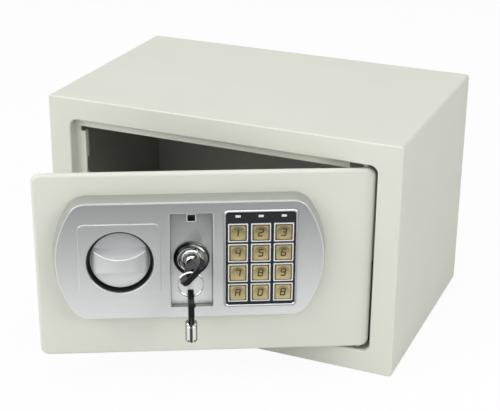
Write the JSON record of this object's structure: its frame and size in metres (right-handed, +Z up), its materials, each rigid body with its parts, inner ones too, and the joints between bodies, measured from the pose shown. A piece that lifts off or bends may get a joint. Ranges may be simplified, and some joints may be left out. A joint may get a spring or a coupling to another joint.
{
  "type": "in-room safe",
  "caption": "Small steel hotel room safe with a hinged door standing open, keypad panel, turning knob, sliding bolts and an override key lock.",
  "frame": {"origin": "centre of the cabinet's underside", "axes": "+X to the right seen from the front, +Y to the back, +Z up; the door front faces -Y when closed"},
  "size_m": [0.31, 0.3188, 0.2],
  "materials": {
    "cream_paint": "textured powder coat",
    "bare_steel": "zinc plated",
    "silver_plastic": "metallic silver, satin",
    "chrome": "polished",
    "black_plastic": "satin",
    "gold_key": "metallic gold",
    "navy_panel": "satin film",
    "lamp_window": "translucent white",
    "rubber_mat": "matt",
    "felt": "needle felt",
    "board": "solder mask",
    "coil": "wound enamel wire",
    "cell_wrap": "printed sleeve without lettering",
    "red_plastic": "moulded",
    "white_plastic": "acetal",
    "red_wire": "insulation"
  },
  "bodies": {
    "cabinet": {"outer_shell": "cream_paint", "back_panel": "cream_paint", "front_frame": "cream_paint", "floor_mat": "felt", "hinge_bushes": "bare_steel"},
    "door": {"door_plate": "cream_paint", "hinge_blocks": "bare_steel", "hinge_pins": "bare_steel", "bolt_housing": "cream_paint", "housing_screws": "bare_steel", "control_panel": "silver_plastic", "panel_screws": "bare_steel", "cover_catch": "black_plastic", "keypad_bezel": "silver_plastic", "keypad_overlay": "navy_panel", "key_frames": "chrome", "indicator_windows": "lamp_window", "keypad_mat": "rubber_mat", "keypad_board": "board", "knob_bush": "white_plastic", "bolt_bushes": "black_plastic", "guide_studs": "bare_steel", "lock_barrel": "chrome", "lock_nut": "bare_steel", "solenoid_frame": "bare_steel", "solenoid_coil": "coil", "battery_holder": "black_plastic", "batteries": "cell_wrap", "control_board": "board", "wiring": "red_wire"},
    "knob_assembly": {"knob": "silver_plastic", "knob_spindle": "bare_steel", "knob_crank": "bare_steel", "spindle_clip": "bare_steel"},
    "bolt_slide": {"bolt_carriage": "bare_steel", "locking_bolts": "chrome"},
    "lock_core": {"lock_plug": "bare_steel", "lock_cam": "bare_steel", "inserted_key_bow": "black_plastic", "inserted_key_tube": "chrome"},
    "ring": {"split_ring": "chrome"},
    "spare_key": {"spare_key_bow": "black_plastic", "spare_key_tube": "chrome"},
    "solenoid_core": {"solenoid_plunger": "chrome", "solenoid_spring": "bare_steel"},
    "battery_lid": {"battery_cover": "black_plastic"},
    "reset": {"reset_button": "red_plastic"},
    "key_1_button": {"key_1": "gold_key"},
    "key_2_button": {"key_2": "gold_key"},
    "key_3_button": {"key_3": "gold_key"},
    "key_4_button": {"key_4": "gold_key"},
    "key_5_button": {"key_5": "gold_key"},
    "key_6_button": {"key_6": "gold_key"},
    "key_7_button": {"key_7": "gold_key"},
    "key_8_button": {"key_8": "gold_key"},
    "key_9_button": {"key_9": "gold_key"},
    "key_a_button": {"key_a": "gold_key"},
    "key_0_button": {"key_0": "gold_key"},
    "key_b_button": {"key_b": "gold_key"}
  },
  "joints": [
    {"name": "door_hinge", "type": "hinge", "parent": "cabinet", "child": "door", "pos_m": [0.1233, -0.0927, 0.1], "axis": [0, 0, 1], "range_deg": [-26.9, 68.1]},
    {"name": "knob_turn", "type": "hinge", "parent": "door", "child": "knob_assembly", "pos_m": [-0.04413, -0.18549, 0.1085], "axis": [-0.4524, 0.8918, 0], "range_deg": [-60, 0]},
    {"name": "bolt_throw", "type": "slide", "parent": "door", "child": "bolt_slide", "axis": [0.8918, 0.4524, 0], "range_m": [-0.014, 0]},
    {"name": "key_turn", "type": "hinge", "parent": "door", "child": "lock_core", "pos_m": [0.00518, -0.16047, 0.1085], "axis": [0.4524, -0.8918, 0], "range_deg": [0, 72]},
    {"name": "ring_swing", "type": "hinge", "parent": "lock_core", "child": "ring", "pos_m": [0.02124, -0.19213, 0.1085], "axis": [0.4524, -0.8918, 0], "range_deg": [-72, 0]},
    {"name": "spare_key_swing", "type": "hinge", "parent": "ring", "child": "spare_key", "pos_m": [0.01999, -0.19277, 0.0878], "axis": [-0.8918, -0.4524, 0], "range_deg": [-15, 60]},
    {"name": "solenoid_stroke", "type": "slide", "parent": "door", "child": "solenoid_core", "axis": [0, 0, -1], "range_m": [-0.004, 0], "deforming": ["solenoid_spring"]},
    {"name": "battery_lid_pull", "type": "slide", "parent": "door", "child": "battery_lid", "axis": [-0.4524, 0.8918, 0], "range_m": [0, 0.03]},
    {"name": "reset_press", "type": "slide", "parent": "door", "child": "reset", "axis": [0.4524, -0.8918, 0], "range_m": [0, 0.0015]},
    {"name": "key_1_press", "type": "slide", "parent": "door", "child": "key_1_button", "axis": [-0.4524, 0.8918, 0], "range_m": [0, 0.0012]},
    {"name": "key_2_press", "type": "slide", "parent": "door", "child": "key_2_button", "axis": [-0.4524, 0.8918, 0], "range_m": [0, 0.0012]},
    {"name": "key_3_press", "type": "slide", "parent": "door", "child": "key_3_button", "axis": [-0.4524, 0.8918, 0], "range_m": [0, 0.0012]},
    {"name": "key_4_press", "type": "slide", "parent": "door", "child": "key_4_button", "axis": [-0.4524, 0.8918, 0], "range_m": [0, 0.0012]},
    {"name": "key_5_press", "type": "slide", "parent": "door", "child": "key_5_button", "axis": [-0.4524, 0.8918, 0], "range_m": [0, 0.0012]},
    {"name": "key_6_press", "type": "slide", "parent": "door", "child": "key_6_button", "axis": [-0.4524, 0.8918, 0], "range_m": [0, 0.0012]},
    {"name": "key_7_press", "type": "slide", "parent": "door", "child": "key_7_button", "axis": [-0.4524, 0.8918, 0], "range_m": [0, 0.0012]},
    {"name": "key_8_press", "type": "slide", "parent": "door", "child": "key_8_button", "axis": [-0.4524, 0.8918, 0], "range_m": [0, 0.0012]},
    {"name": "key_9_press", "type": "slide", "parent": "door", "child": "key_9_button", "axis": [-0.4524, 0.8918, 0], "range_m": [0, 0.0012]},
    {"name": "key_a_press", "type": "slide", "parent": "door", "child": "key_a_button", "axis": [-0.4524, 0.8918, 0], "range_m": [0, 0.0012]},
    {"name": "key_0_press", "type": "slide", "parent": "door", "child": "key_0_button", "axis": [-0.4524, 0.8918, 0], "range_m": [0, 0.0012]},
    {"name": "key_b_press", "type": "slide", "parent": "door", "child": "key_b_button", "axis": [-0.4524, 0.8918, 0], "range_m": [0, 0.0012]}
  ],
  "couplings": [
    {"joint": "knob_turn", "follows": "bolt_throw", "rad_per_m": 74.799},
    {"joint": "ring_swing", "follows": "key_turn", "ratio": -1}
  ]
}
